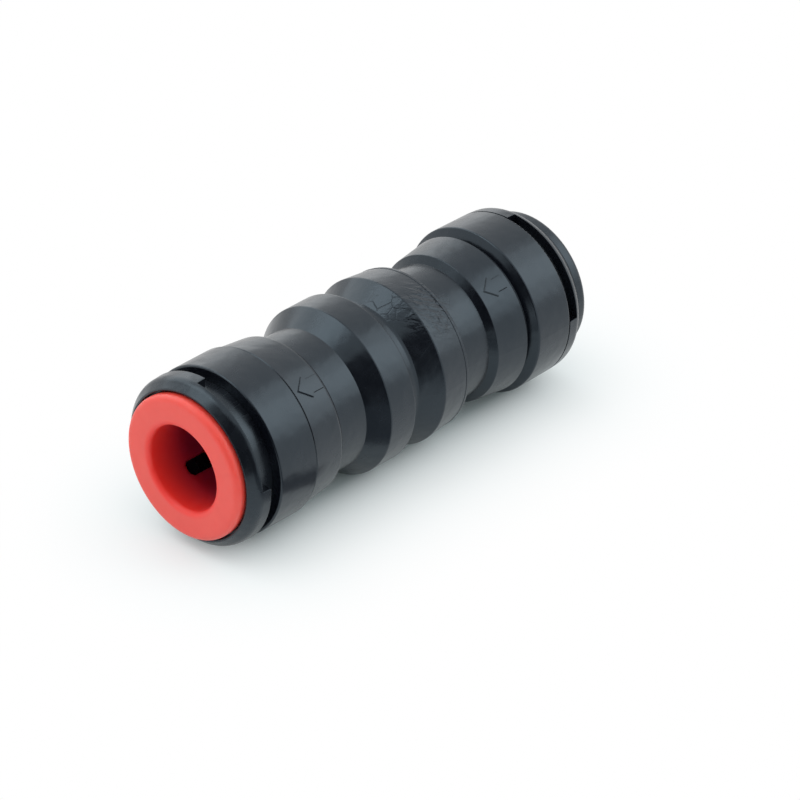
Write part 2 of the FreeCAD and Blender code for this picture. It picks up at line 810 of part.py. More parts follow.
bind(guide_window, "Angle", "guide_window_turn")
guide_outline.Visibility = False
doc.recompute()
repeat(poppet_cage, guide_window, "guide_windows", GUIDE_WINDOWS)
place_inlet(poppet_cage)

# Return spring between the poppet's back and the hub.
return_spring = new_body("return_spring")
wire = new_sketch(return_spring, "spring_wire")
wire_centre = FreeCAD.Vector(0, amount("spring_r"), 0)
wire_circle = Part.Circle(wire_centre, FreeCAD.Vector(0, 0, 1), amount("spring_wire_r"))
wire.addGeometry(wire_circle, False)
wire.addConstraint(Sketcher.Constraint("PointOnObject", 0, 3, -2))
wire.addConstraint(Sketcher.Constraint("DistanceY", -1, 1, 0, 3, amount("spring_r")))
bind(wire, "Constraints[1]", "spring_r")
wire.addConstraint(Sketcher.Constraint("Radius", 0, amount("spring_wire_r")))
bind(wire, "Constraints[2]", "spring_wire_r")
coil = return_spring.newObject("PartDesign::AdditiveHelix", "spring_coil")
coil.Profile = wire
coil.ReferenceAxis = (wire, ["H_Axis"])
coil.Mode = "height-turns-angle"
bind(coil, "Height", "spring_len")
bind(coil, "Turns", "spring_turns")
wire.Visibility = False
doc.recompute()
place_inlet(return_spring, "+ spring_start")

NODES = [
    outlet_body, inlet_body, outlet_cap, inlet_cap, outlet_collet, inlet_collet,
    outlet_teeth, inlet_teeth, outlet_spacer, inlet_spacer, outlet_seal, inlet_seal,
    joint_seal, valve_seat, seat_seal, poppet, poppet_nose, poppet_seal, poppet_cage,
    return_spring,
]
doc.recompute()
for thing in doc.Objects:
    for word in thing.State:
        if word in ("Invalid", "Error"):
            raise RuntimeError("%s is %s" % (thing.Label, word))
os.makedirs("parts", exist_ok=True)
for node in NODES:
    if node.Shape.isNull() or not node.Shape.isValid():
        raise RuntimeError("bad shape: " + node.Label)
    node.Shape.exportStep("parts/" + node.Label + ".step")
    box = node.Shape.BoundBox
    print("%-20s solids %d  volume %8.2f  x %7.2f %7.2f  r %5.2f" % (
        node.Label, len(node.Shape.Solids), node.Shape.Volume, box.XMin, box.XMax, box.ZMax))
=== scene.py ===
# %% [markdown]
# # An inline non-return valve, dressed for its picture
# The valve is a black plastic fitting that joins two tubes and lets water pass one way only.
# Its solids come from the CAD model, which is loaded here as a fixed frame.
# Blender's work is the rest: the finishes, small moulded marks, a coil for the spring,
# the lights and the camera.

# %% Load the imported model
import math
import bmesh
import bpy
from mathutils import Matrix, Vector


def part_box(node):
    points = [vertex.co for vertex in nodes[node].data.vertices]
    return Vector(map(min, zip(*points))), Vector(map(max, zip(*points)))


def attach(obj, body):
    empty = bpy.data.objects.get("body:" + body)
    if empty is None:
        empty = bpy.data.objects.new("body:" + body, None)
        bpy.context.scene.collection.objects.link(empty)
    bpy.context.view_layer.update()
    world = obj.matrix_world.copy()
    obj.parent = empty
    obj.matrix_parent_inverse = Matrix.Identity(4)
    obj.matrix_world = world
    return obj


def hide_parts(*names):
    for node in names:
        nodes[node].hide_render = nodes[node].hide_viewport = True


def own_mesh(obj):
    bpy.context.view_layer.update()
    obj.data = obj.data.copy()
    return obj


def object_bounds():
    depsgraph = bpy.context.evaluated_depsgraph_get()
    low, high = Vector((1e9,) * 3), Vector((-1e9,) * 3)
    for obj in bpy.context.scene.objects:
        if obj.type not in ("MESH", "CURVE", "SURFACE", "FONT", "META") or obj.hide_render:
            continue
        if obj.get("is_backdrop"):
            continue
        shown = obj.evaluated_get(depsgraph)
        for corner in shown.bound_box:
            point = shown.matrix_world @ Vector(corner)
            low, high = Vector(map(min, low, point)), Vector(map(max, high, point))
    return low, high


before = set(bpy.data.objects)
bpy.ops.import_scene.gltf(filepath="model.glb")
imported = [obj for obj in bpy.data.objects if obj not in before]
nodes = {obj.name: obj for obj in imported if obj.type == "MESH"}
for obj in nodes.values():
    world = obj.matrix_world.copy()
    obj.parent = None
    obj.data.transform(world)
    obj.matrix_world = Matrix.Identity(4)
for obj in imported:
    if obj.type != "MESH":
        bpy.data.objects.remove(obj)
cad_low, cad_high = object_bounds()
MM = 0.001
cad_size = [round((high - low) / MM, 2) for low, high in zip(cad_low, cad_high)]
print("solids:", len(nodes), "box in mm:", cad_size)

# %% [markdown]
# ## Where things are
# The axis of the valve is the X axis, and the flow runs towards +X, to the coral end.
# It helps to count distances from the rim of the coral end, as a caliper would.
# A point on the outside is then a distance along, an angle from the top, and a radius.

# %% Places on the valve
OUTLET_RIM_X = 27.875 * MM


def on_shell(along, angle, radius):
    """Point at a distance from the coral rim and a radius, in mm, and at an angle in degrees.

    The angle runs from the top towards +Y, and the point comes back in metres.
    """
    turn = math.radians(angle)
    return Vector((
        OUTLET_RIM_X - along * MM,
        radius * MM * math.sin(turn),
        radius * MM * math.cos(turn),
    ))


print("top of the coral end's rim:", [round(v, 4) for v in on_shell(0, 0, 12)])

# %% [markdown]
# ## The camera
# The picture was taken from above the coral end's side with a long lens, so the ellipses of the
# rims hardly narrow with distance.
# One could aim a camera with a constraint, but a long lens shows every tenth of a degree.
# So the camera gets its three axes written out: right, up and back, each a unit vector.

# %% Put up the camera
CAMERA_PLACE = Vector((0.405575, 0.3879, 0.3381))
CAMERA_RIGHT = Vector((-0.68496, 0.72858, 0.0))
CAMERA_UP = Vector((-0.37976, -0.35703, 0.85341))
CAMERA_BACK = Vector((0.62178, 0.58456, 0.52124))


def aim(thing, place, right, up, back):
    """Puts a camera or a lamp at a place and turns it, so that it faces away from back."""
    axes = Matrix((right, up, back)).transposed().to_4x4()
    thing.matrix_world = Matrix.Translation(place) @ axes


camera_data = bpy.data.cameras.new("studio_camera")
camera_data.lens = 221.62
camera_data.sensor_width = 36.0
camera_data.clip_start = 0.05
camera_data.clip_end = 20.0
camera = bpy.data.objects.new("studio_camera", camera_data)
bpy.context.scene.collection.objects.link(camera)
aim(camera, CAMERA_PLACE, CAMERA_RIGHT, CAMERA_UP, CAMERA_BACK)
bpy.context.scene.camera = camera
bpy.context.scene.view_settings.view_transform = "Standard"
print("camera is", round(camera.location.length, 3), "m from the middle of the valve")

# %% [markdown]
# ## Helpers for node trees
# A material is a tree of nodes, and each node's inputs hold a plain value or a link.
# Blender's own calls make a node, set it and link it in a line each, so a tree gets long.
# These helpers put down a node with its inputs already fed, so a tree reads like a sum.

# %% Write the helpers
def feed(tree, node, inputs):
    """Fills a node's inputs: a socket is linked, and anything else becomes the plain value."""
    for key, value in inputs.items():
        if isinstance(value, bpy.types.NodeSocket):
            tree.links.new(value, node.inputs[key])
        else:
            node.inputs[key].default_value = value


def put(tree, kind, x, y, inputs=None, **options):
    """Adds a node at a place on the node sheet, sets its options and then feeds its inputs."""
    node = tree.nodes.new(kind)
    node.location = (x, y)
    for name, value in options.items():
        setattr(node, name, value)
    feed(tree, node, inputs or {})
    return node


def reckon(tree, x, y, operation, *values):
    """A Math node; each value is a socket or a number, and its result's socket comes back."""
    node = put(tree, "ShaderNodeMath", x, y, dict(enumerate(values)), operation=operation)
    return node.outputs[0]


def remap(tree, x, y, value, start, end, low=0.0, high=1.0, ease="LINEAR"):
    """A Map Range node: start to end becomes low to high, and its result's socket comes back."""
    inputs = {"Value": value, "From Min": start, "From Max": end, "To Min": low, "To Max": high}
    node = put(tree, "ShaderNodeMapRange", x, y, inputs, interpolation_type=ease)
    return node.outputs["Result"]


print("helpers:", feed.__name__, put.__name__, reckon.__name__, remap.__name__)

# %% [markdown]
# ## Floor and background
# Small parts are photographed on white card that sweeps away out of focus, so there is no horizon.
# A curved sweep of geometry would do it, but a flat floor that melts into white with distance is
# simpler.
# Near the valve the floor is plain matt card that takes a shadow; further off, eyes and
# reflections see pure white.
# The distance is counted from a line as long as the valve's middle, so that the shadow fades
# evenly all round.

# %% Lay the floor
FLOOR_Z = -12.09 * MM
FLOOR_RADIUS = 3.0


def new_object(name, mesh):
    """Turns a bmesh into an object in the scene, and frees the bmesh."""
    data = bpy.data.meshes.new(name)
    mesh.to_mesh(data)
    mesh.free()
    thing = bpy.data.objects.new(name, data)
    bpy.context.scene.collection.objects.link(thing)
    return thing


floor_mesh = bmesh.new()
bmesh.ops.create_circle(floor_mesh, cap_ends=True, segments=96, radius=FLOOR_RADIUS)
bmesh.ops.translate(floor_mesh, verts=floor_mesh.verts, vec=(0, 0, FLOOR_Z))
floor = new_object("floor", floor_mesh)
floor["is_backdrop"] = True
print("floor touches the widest rim at z =", FLOOR_Z)

# %% Make the card
CARD_COLOUR = (0.80, 0.915, 0.92, 1)
SHADOW_REACH = 32 * MM
SHADOW_FOOT = 4 * MM
HALF_LINE = 24 * MM
SHADOW_FALL = 2.0


def looked_at(tree, x, y):
    """Socket with 1 where the eye, a reflection or glass looks, and 0 where light is gathered."""
    ray = put(tree, "ShaderNodeLightPath", x, y).outputs
    bare = reckon(tree, x + 150, y, "MAXIMUM", ray["Is Camera Ray"], ray["Is Glossy Ray"])
    return reckon(tree, x + 300, y, "MAXIMUM", bare, ray["Is Transmission Ray"])


card = bpy.data.materials.new("matt_card")
card.use_nodes = True
tree = card.node_tree
tree.nodes.clear()
where = put(tree, "ShaderNodeTexCoord", -1600, 0)
split = put(tree, "ShaderNodeSeparateXYZ", -1450, 0, {0: where.outputs["Object"]})
along = reckon(tree, -1300, 150, "ABSOLUTE", split.outputs["X"])
beyond = reckon(tree, -1150, 150, "SUBTRACT", along, HALF_LINE)
past_end = reckon(tree, -1000, 150, "MAXIMUM", beyond, 0.0)
flat = put(tree, "ShaderNodeCombineXYZ", -850, 0, {"X": past_end, "Y": split.outputs["Y"]})
away = put(tree, "ShaderNodeVectorMath", -700, 0, {0: flat.outputs[0]}, operation="LENGTH")
near = remap(tree, -550, 0, away.outputs["Value"], SHADOW_REACH, SHADOW_FOOT)
softened = reckon(tree, -400, 0, "POWER", near, SHADOW_FALL)
unwatched = reckon(tree, -250, 350, "SUBTRACT", 1.0, looked_at(tree, -700, 350))
keep_matt = reckon(tree, -100, 200, "MAXIMUM", softened, unwatched)
matt = put(tree, "ShaderNodeBsdfPrincipled", -350, -150,
           {"Base Color": CARD_COLOUR, "Roughness": 0.9, "Specular IOR Level": 0.1})
white = put(tree, "ShaderNodeEmission", -350, -500)
blend = put(tree, "ShaderNodeMixShader", 100, 0,
            {0: keep_matt, 1: white.outputs["Emission"], 2: matt.outputs["BSDF"]})
put(tree, "ShaderNodeOutputMaterial", 300, 0, {"Surface": blend.outputs["Shader"]})
floor.data.materials.append(card)
print("card nodes:", len(tree.nodes))

# %% [markdown]
# ## The room
# Black glossy plastic has almost no colour of its own: what one sees is the room in it.
# The world is white where a camera ray or a reflection meets it, and a plain cool grey where it
# lights things.
# Light Path tells the two apart, so the background can be white with no extra light on the valve.

# %% Paint the world
ROOM_COLOUR = (0.97, 0.99, 1.0, 1)
ROOM_STRENGTH = 0.76
WHITE = (1, 1, 1, 1)
world = bpy.data.worlds.new("white_room")
bpy.context.scene.world = world
world.use_nodes = True
tree = world.node_tree
tree.nodes.clear()
lit = put(tree, "ShaderNodeBackground", -250, 0, {"Color": ROOM_COLOUR, "Strength": ROOM_STRENGTH})
plain = put(tree, "ShaderNodeBackground", -250, -200, {"Color": WHITE, "Strength": 1.0})
blend = put(tree, "ShaderNodeMixShader", 0, 0, {
    0: looked_at(tree, -900, 200),
    1: lit.outputs["Background"],
    2: plain.outputs["Background"],
})
put(tree, "ShaderNodeOutputWorld", 200, 0, {"Surface": blend.outputs["Shader"]})
print("world strength for light:", ROOM_STRENGTH)

# %% [markdown]
# ## Lamps
# Four lights show in the plastic: a box overhead, a wide window on the far side with a low strip
# beside it, and a tall box behind the right side.
# The tall box has a brighter core, because the middle of a real soft box is brighter than its
# edges.
# Area lamps are the natural choice, because their shape is what the long highlights copy.
# A lamp's power is given here by how bright its face looks, so that moving or resizing it doesn't
# change the tone.

# %% Hang the soft boxes
COOL_WHITE = (0.96, 0.99, 1.0)
SIDE_UP = (0, 0.75, -0.66)


def soft_box(name, direction, distance, width, height, brightness, upward=(0, 0, 1)):
    """Area lamp that faces the valve; brightness is its face's, and its height points upward."""
    lamp = bpy.data.lights.new(name, "AREA")
    lamp.shape = "RECTANGLE"
    lamp.size = width
    lamp.size_y = height
    lamp.energy = brightness * math.pi * width * height
    lamp.color = COOL_WHITE
    thing = bpy.data.objects.new(name, lamp)
    bpy.context.scene.collection.objects.link(thing)
    away = Vector(direction).normalized()
    across = Vector(upward).cross(away).normalized()
    aim(thing, away * distance, across, away.cross(across), away)
    return thing


lamps = [
    soft_box("overhead_box", (0.40, -0.38, 0.84), distance=0.60,
             width=0.36, height=0.32, brightness=2.0),
    soft_box("far_window", (-0.12, -0.80, 0.52), distance=0.70,
             width=0.66, height=0.44, brightness=1.12),
    soft_box("far_strip", (-0.66, -0.74, 0.12), distance=0.70,
             width=0.20, height=0.30, brightness=0.45),
    soft_box("side_box", (-0.61, 0.51, 0.58), distance=0.60,
             width=0.46, height=0.58, brightness=0.95, upward=SIDE_UP),
    soft_box("side_box_core", (-0.58, 0.54, 0.60), distance=0.60,
             width=0.36, height=0.24, brightness=0.60, upward=SIDE_UP),
]
print("lamps:", [lamp.name for lamp in lamps])

# %% [markdown]
# ## The dark side of the room
# The cones that face the photographer are almost black: they reflect the unlit part of the room.
# A black board on that side does the same, as photographers do to give edges to glossy things.
# A grey apron lies on the floor before it, a painted reflection of the dim table on that side.
# Both are painted reflections of shade: seen by reflections only, so they throw no shadow and
# never come into the picture.

# %% Sweep a strip that only reflections see
SWEEP_STEPS = 16
UNSEEN_BY = (
    "visible_camera", "visible_diffuse", "visible_transmission",
    "visible_volume_scatter", "visible_shadow",
)


def dark_sweep(name, start, turn, first, second, colour):
    """Strip between two (radius, height) points, swept about the vertical axis.

    start and turn are in degrees, and only reflections see the strip.
    """
    mesh = bmesh.new()
    heading = Vector((math.cos(math.radians(start)), math.sin(math.radians(start)), 0))
    ends = [mesh.verts.new(heading * radius + Vector((0, 0, height)))
            for radius, height in (first, second)]
    rib = mesh.edges.new(ends)
    bmesh.ops.spin(mesh, geom=ends + [rib], cent=(0, 0, 0), axis=(0, 0, 1),
                   angle=math.radians(turn), steps=SWEEP_STEPS)
    thing = new_object(name, mesh)
    thing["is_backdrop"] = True
    for ray in UNSEEN_BY:
        setattr(thing, ray, False)
    finish = bpy.data.materials.new(name)
    finish.use_nodes = True
    feed(finish.node_tree, finish.node_tree.nodes["Principled BSDF"], {
        "Base Color": (0, 0, 0, 1),
        "Specular IOR Level": 0.0,
        "Emission Color": (*colour, 1),
        "Emission Strength": 1.0,
    })
    thing.data.materials.append(finish)
    return thing


print("a strip is hidden from", len(UNSEEN_BY), "kinds of ray")

# %% Stand the black board
BOARD_RADIUS = 130 * MM
BOARD_TOP = 135 * MM
BOARD_SHADE_COLOUR = (0.02, 0.02, 0.02)
APRON_RADIUS = 19 * MM
APRON_Z = FLOOR_Z + 0.2 * MM
APRON_SHADE_COLOUR = (0.26, 0.275, 0.295)
# Both strips are painted shade in reflections: dark colours that only reflections see.
board = dark_sweep("painted_shade_board", start=-3, turn=71, first=(BOARD_RADIUS, FLOOR_Z),
                   second=(BOARD_RADIUS, BOARD_TOP), colour=BOARD_SHADE_COLOUR)
apron = dark_sweep("painted_shade_apron", start=45, turn=24, first=(APRON_RADIUS, APRON_Z),
                   second=(BOARD_RADIUS, APRON_Z), colour=APRON_SHADE_COLOUR)
print("board and apron corners:", len(board.data.vertices), len(apron.data.vertices))

# %% [markdown]
# ## Effects that several finishes share
# Real moulded plastic is never one flat tone: edges are rubbed, the skin has a grain, things
# scratch and gather dust.
# Each effect is a node group, built once with named sockets, and every material uses it with its
# own values.
# All patterns read Object coordinates, which stay on the piece when it moves.

# %% Start a node group
def new_group(name, inputs, outputs):
    """Empty shader group; inputs are floats as (name, default), and outputs (name, kind)."""
    group = bpy.data.node_groups.new(name, "ShaderNodeTree")
    for label, value in inputs:
        socket = group.interface.new_socket(label, in_out="INPUT", socket_type="NodeSocketFloat")
        socket.default_value = value
    for label, kind in outputs:
        group.interface.new_socket(label, in_out="OUTPUT", socket_type=kind)
    entry = put(group, "NodeGroupInput", -1200, 0)
    leave = put(group, "NodeGroupOutput", 600, 0)
    return group, entry.outputs, leave


print("groups so far:", len(bpy.data.node_groups))

# %% [markdown]
# Edge wear: handling rubs a moulding's edges paler than its faces.
# Painting them by hand would do, but the Bevel node finds them: it gives the normal that a
# rounded edge would have, and where it differs from the true normal there is an edge.
# A noise breaks that mask up, because no edge wears evenly.
# On the coral collet the same mask lays painted glow instead: a deeper orange-red on its edges.

# %% Build the edge wear and glow group
edge_wear_and_glow, entry, leave = new_group(
    "edge_wear_and_glow",
    [("Width", 0.2 * MM), ("Break Up", 1200.0)],
    [("Mask", "NodeSocketFloat"), ("Normal", "NodeSocketVector")],
)
rounded = put(edge_wear_and_glow, "ShaderNodeBevel", -900, 200, {"Radius": entry["Width"]}, samples=4)
true_side = put(edge_wear_and_glow, "ShaderNodeNewGeometry", -900, 0)
same = put(edge_wear_and_glow, "ShaderNodeVectorMath", -650, 100,
           {0: rounded.outputs["Normal"], 1: true_side.outputs["Normal"]}, operation="DOT_PRODUCT")
edge = remap(edge_wear_and_glow, -450, 100, same.outputs["Value"], start=0.995, end=0.86)
place = put(edge_wear_and_glow, "ShaderNodeTexCoord", -900, -250).outputs["Object"]
patches = put(edge_wear_and_glow, "ShaderNodeTexNoise", -650, -250,
              {"Vector": place, "Scale": entry["Break Up"], "Detail": 3.0})
spread = remap(edge_wear_and_glow, -450, -250, patches.outputs["Fac"], start=0.35, end=0.7)
worn_and_glowing = reckon(edge_wear_and_glow, -150, 0, "MULTIPLY", edge, spread)
feed(edge_wear_and_glow, leave, {"Mask": worn_and_glowing, "Normal": rounded.outputs["Normal"]})
print("built", edge_wear_and_glow.name)

# %% [markdown]
# Grain: a mould's steel is polished, then fades with use, and its skin prints on each part.
# A picture of a grain could be wrapped round the valve, but noise in space needs no wrapping.
# A fine noise gives the skin, and a slow one the mottled sheen between glossy and dull patches.
# A third, a couple of millimetres long, is the sink and flow of thick plastic: it bends the edges
# of reflections a little.

# %% Build the moulded skin group
moulded_skin, entry, leave = new_group(
    "moulded_skin",
    [("Fine Scale", 5000.0), ("Wave Scale", 480.0), ("Slow Scale", 260.0)],
    [("Height", "NodeSocketFloat"), ("Waves", "NodeSocketFloat"), ("Sheen", "NodeSocketFloat")],
)
place = put(moulded_skin, "ShaderNodeTexCoord", -950, -100).outputs["Object"]
fine = put(moulded_skin, "ShaderNodeTexNoise", -650, 150,
           {"Vector": place, "Scale": entry["Fine Scale"], "Detail": 4.0, "Roughness": 0.6})
waves = put(moulded_skin, "ShaderNodeTexNoise", -650, 0,
            {"Vector": place, "Scale": entry["Wave Scale"], "Detail": 1.0})
slow = put(moulded_skin, "ShaderNodeTexNoise", -650, -150, {
    "Vector": place, "Scale": entry["Slow Scale"],
    "Detail": 5.0, "Roughness": 0.65, "Distortion": 0.4,
})
mottled_sheen = remap(moulded_skin, -350, -150, slow.outputs["Fac"], start=0.3, end=0.7)
feed(moulded_skin, leave,
     {"Height": fine.outputs["Fac"], "Waves": waves.outputs["Fac"], "Sheen": mottled_sheen})
print("built", moulded_skin.name)

# %% [markdown]
# Scratches: rubbing against other parts in a box leaves fine lines in a few directions.
# They are too shallow to be cut in the mesh, so a mask of thin lines is enough.
# A Voronoi pattern stretched many times one way has cell borders like scratches, and a slow noise
# keeps them to patches.

# %% Build the scratches group
scratches, entry, leave = new_group(
    "scratches",
    [("Turn", 0.6), ("Scale", 900.0), ("Amount", 0.5)],
    [("Mask", "NodeSocketFloat")],
)
place = put(scratches, "ShaderNodeTexCoord", -1200, -200).outputs["Object"]
way = put(scratches, "ShaderNodeCombineXYZ", -1000, 100, {"Z": entry["Turn"]})
skew = put(scratches, "ShaderNodeMapping", -800, 0,
           {"Vector": place, "Rotation": way.outputs["Vector"], "Scale": (0.09, 1.0, 0.5)})
lines = put(scratches, "ShaderNodeTexVoronoi", -600, 0,
            {"Vector": skew.outputs["Vector"], "Scale": entry["Scale"]}, feature="DISTANCE_TO_EDGE")
thin = remap(scratches, -400, 0, lines.outputs["Distance"], start=0.035, end=0.0)
areas = put(scratches, "ShaderNodeTexNoise", -600, -300,
            {"Vector": place, "Scale": 170.0, "Detail": 2.0, "Roughness": 0.7})
keep = remap(scratches, -400, -300, areas.outputs["Fac"], start=0.56, end=0.68)
both = reckon(scratches, -150, 0, "MULTIPLY", thin, keep)
feed(scratches, leave, {"Mask": reckon(scratches, 100, 0, "MULTIPLY", both, entry["Amount"])})
print("built", scratches.name)

# %% [markdown]
# A worse patch: something has rubbed the stop ring near its top and left it wrinkled like wood
# grain, with cracks on its cone.
# Sculpting it would need a dense mesh, and a CAD solid's mesh is left alone, so it is a height.
# The wrinkles are a noise stretched along a slant, which a Mapping node of the Texture kind turns
# and then scales.
# The cracks are the borders of Voronoi cells, and a coarse noise wipes out about half of them.
# A distance from the middle of the patch keeps both in their place, and two amounts say how much
# of each it shows.

# %% Build the wrinkled patch group
wrinkled_patch, entry, leave = new_group(
    "wrinkled_patch",
    [("Along", 0.0), ("Aside", 0.0), ("Up", 0.0), ("Reach", 6.2 * MM), ("Wood", 1.0),
     ("Cracks", 1.0)],
    [("Mask", "NodeSocketFloat"), ("Height", "NodeSocketFloat")],
)
place = put(wrinkled_patch, "ShaderNodeTexCoord", -1200, -200).outputs["Object"]
middle = put(wrinkled_patch, "ShaderNodeCombineXYZ", -1000, 150,
             {"X": entry["Along"], "Y": entry["Aside"], "Z": entry["Up"]})
apart = put(wrinkled_patch, "ShaderNodeVectorMath", -800, 100,
            {0: place, 1: middle.outputs["Vector"]}, operation="DISTANCE")
fade = remap(wrinkled_patch, -600, 100, apart.outputs["Value"], start=0.0, end=entry["Reach"],
             low=1.0, high=0.0, ease="SMOOTHSTEP")
turned = put(wrinkled_patch, "ShaderNodeMapping", -1000, -200, {
    "Vector": place,
    "Rotation": (0, math.radians(-17), math.radians(-32)),
    "Scale": (2.6, 0.8, 0.8),
}, vector_type="TEXTURE")
wood = put(wrinkled_patch, "ShaderNodeTexNoise", -800, -150,
           {"Vector": turned.outputs["Vector"], "Scale": 1300.0, "Detail": 2.0, "Distortion": 0.4})
cells = put(wrinkled_patch, "ShaderNodeTexVoronoi", -800, -400,
            {"Vector": place, "Scale": 480.0}, feature="DISTANCE_TO_EDGE")
crack = remap(wrinkled_patch, -600, -400, cells.outputs["Distance"], start=0.0, end=0.05,
              low=-0.26, high=0.0)
coarse = put(wrinkled_patch, "ShaderNodeTexNoise", -800, -700, {"Vector": place, "Scale": 330.0})
broken = remap(wrinkled_patch, -600, -700, coarse.outputs["Fac"], start=0.46, end=0.54)
kept_cracks = reckon(wrinkled_patch, -400, -500, "MULTIPLY", crack, broken)
crack_share = reckon(wrinkled_patch, -300, -500, "MULTIPLY", kept_cracks, entry["Cracks"])
wood_share = reckon(wrinkled_patch, -500, -150, "MULTIPLY", wood.outputs["Fac"], entry["Wood"])
rough_ground = reckon(wrinkled_patch, -200, -200, "ADD", wood_share, crack_share)
kept = reckon(wrinkled_patch, 0, -100, "MULTIPLY", rough_ground, fade)
feed(wrinkled_patch, leave, {"Mask": fade, "Height": kept})
print("built", wrinkled_patch.name)

# %% [markdown]
# Dust: a few pale specks sit on any black thing.
# Tiny balls could be scattered on the shell, but at this size a spot of colour looks the same.
# Voronoi cells give random spots; only the cells whose random colour is low enough get a speck,
# so they are sparse.

# %% Build the dust group
dust, entry, leave = new_group(
    "dust",
    [("Scale", 700.0), ("Size", 0.07), ("Share", 0.03)],
    [("Mask", "NodeSocketFloat")],
)
place = put(dust, "ShaderNodeTexCoord", -1200, -200).outputs["Object"]
cells = put(dust, "ShaderNodeTexVoronoi", -900, 0, {"Vector": place, "Scale": entry["Scale"]})
near = reckon(dust, -600, 100, "LESS_THAN", cells.outputs["Distance"], entry["Size"])
chance = put(dust, "ShaderNodeSeparateColor", -700, -150, {"Color": cells.outputs["Color"]})
chosen = reckon(dust, -450, -150, "LESS_THAN", chance.outputs["Red"], entry["Share"])
feed(dust, leave, {"Mask": reckon(dust, -150, 0, "MULTIPLY", near, chosen)})
print("built", dust.name)

# %% [markdown]
# ## One recipe for all the plastics
# Every moulded piece here has the same layers: a colour, a slightly different colour in mottled
# patches, rubbed edges, scratches and dust; on the coral the edge colour is painted glow.
# So one function builds the material, and each plastic gives its own colours and amounts.
# Constants such as the index of refraction go on the shader's own sockets.
# Two helpers come first: one lays a colour over another by a mask, and one adds a share of a
# mask to a value.

# %% Write the layering helpers
def mix_colour(tree, x, y, mask, first, second):
    """Mixes two colours by a mask; each colour is a tuple or a socket."""
    ends = [(*colour, 1) if isinstance(colour, tuple) else colour for colour in (first, second)]
    inputs = {0: mask, 6: ends[0], 7: ends[1]}
    return put(tree, "ShaderNodeMix", x, y, inputs, data_type="RGBA").outputs[2]


def add_scaled(tree, x, y, value, factor, rest):
    """rest + value * factor, where value is a socket and rest a socket or a number."""
    return reckon(tree, x, y, "MULTIPLY_ADD", value, factor, rest)


print("layering helpers:", mix_colour.__name__, add_scaled.__name__)

# %% Write the plastic recipe
PLASTIC_IOR = 1.56
GLOW_REACH = 1.2 * MM
GLOW_TINT = (1.0, 0.25, 0.15)
DUST_COLOUR = (0.5, 0.52, 0.52)
DUST_ROUGHNESS = 0.5
SCRATCH_ROUGHNESS = 0.25
SCRATCH_HEIGHT = -0.6
PATCH_DEPTH = 46.0


def plastic(name, colour, mottled, rubbed_and_glow, roughness, sheen=0.08, edge=0.2 * MM, edge_share=0.5,
            scratch=0.5, turn=0.6, grain=0.004 * MM, wavy=0.0, patches=(), dusty=0.02,
            subsurface=0.0, gloss=(1, 1, 1)):
    """Moulded plastic: colour, mottling, rubbed edges, scratches, grain, waves, patches, dust.

    Each wrinkled patch is (place, reach, wood, cracks, dulling).
    The edge colour goes on edges and scratches: paler rubbed plastic on the black pieces, and
    painted glow on the coral.
    """
    material = bpy.data.materials.new(name)
    material.use_nodes = True
    tree = material.node_tree
    shader = tree.nodes["Principled BSDF"]
    feed(tree, shader, {"IOR": PLASTIC_IOR, "Specular Tint": (*gloss, 1)})
    if subsurface:
        feed(tree, shader, {
            "Subsurface Weight": subsurface,
            "Subsurface Radius": GLOW_TINT,
            "Subsurface Scale": GLOW_REACH,
        })

    def effect(group, y, **inputs):
        """A shared effect with its inputs set; gives back its output sockets."""
        named = {label.title(): value for label, value in inputs.items()}
        return put(tree, "ShaderNodeGroup", -1100, y, named, node_tree=group).outputs

    rubbing_and_glow = effect(edge_wear_and_glow, 300, width=edge)
    skin = effect(moulded_skin, 0)
    marks = effect(scratches, -250, turn=turn, amount=scratch)
    specks = effect(dust, -500, share=dusty)
    base = mix_colour(tree, -800, 300, skin["Sheen"], colour, mottled)
    # Edges get the edge colour: wear on the black pieces, painted glow on the coral.
    share = add_scaled(tree, -800, 500, rubbing_and_glow["Mask"], edge_share, 0.0)
    base = mix_colour(tree, -600, 300, share, base, rubbed_and_glow)
    base = mix_colour(tree, -400, 300, marks["Mask"], base, rubbed_and_glow)
    base = mix_colour(tree, -200, 300, specks["Mask"], base, DUST_COLOUR)
    rough = add_scaled(tree, -800, 0, skin["Sheen"], sheen, roughness)
    rough = add_scaled(tree, -600, 0, marks["Mask"], SCRATCH_ROUGHNESS, rough)
    rough = add_scaled(tree, -400, 0, specks["Mask"], DUST_ROUGHNESS, rough)
    height = add_scaled(tree, -800, -300, marks["Mask"], SCRATCH_HEIGHT, skin["Height"])
    if wavy:
        height = add_scaled(tree, -700, -400, skin["Waves"], wavy, height)
    for row, (at, reach, wood, cracks, dulling) in enumerate(patches):
        patch = effect(wrinkled_patch, -750 - 250 * row, along=at.x, aside=at.y, up=at.z,
                       reach=reach, wood=wood, cracks=cracks)
        height = add_scaled(tree, -600 + 100 * row, -500 - 100 * row, patch["Height"],
                            PATCH_DEPTH, height)
        if dulling:
            rough = add_scaled(tree, -300, 0, patch["Mask"], dulling, rough)
    bump = put(tree, "ShaderNodeBump", -300, -300, {
        "Strength": 1.0, "Distance": grain, "Height": height, "Normal": rubbing_and_glow["Normal"],
    })
    feed(tree, shader, {"Base Color": base, "Roughness": rough, "Normal": bump.outputs["Normal"]})
    return material


print("effects in the recipe:", [group.name for group in bpy.data.node_groups])
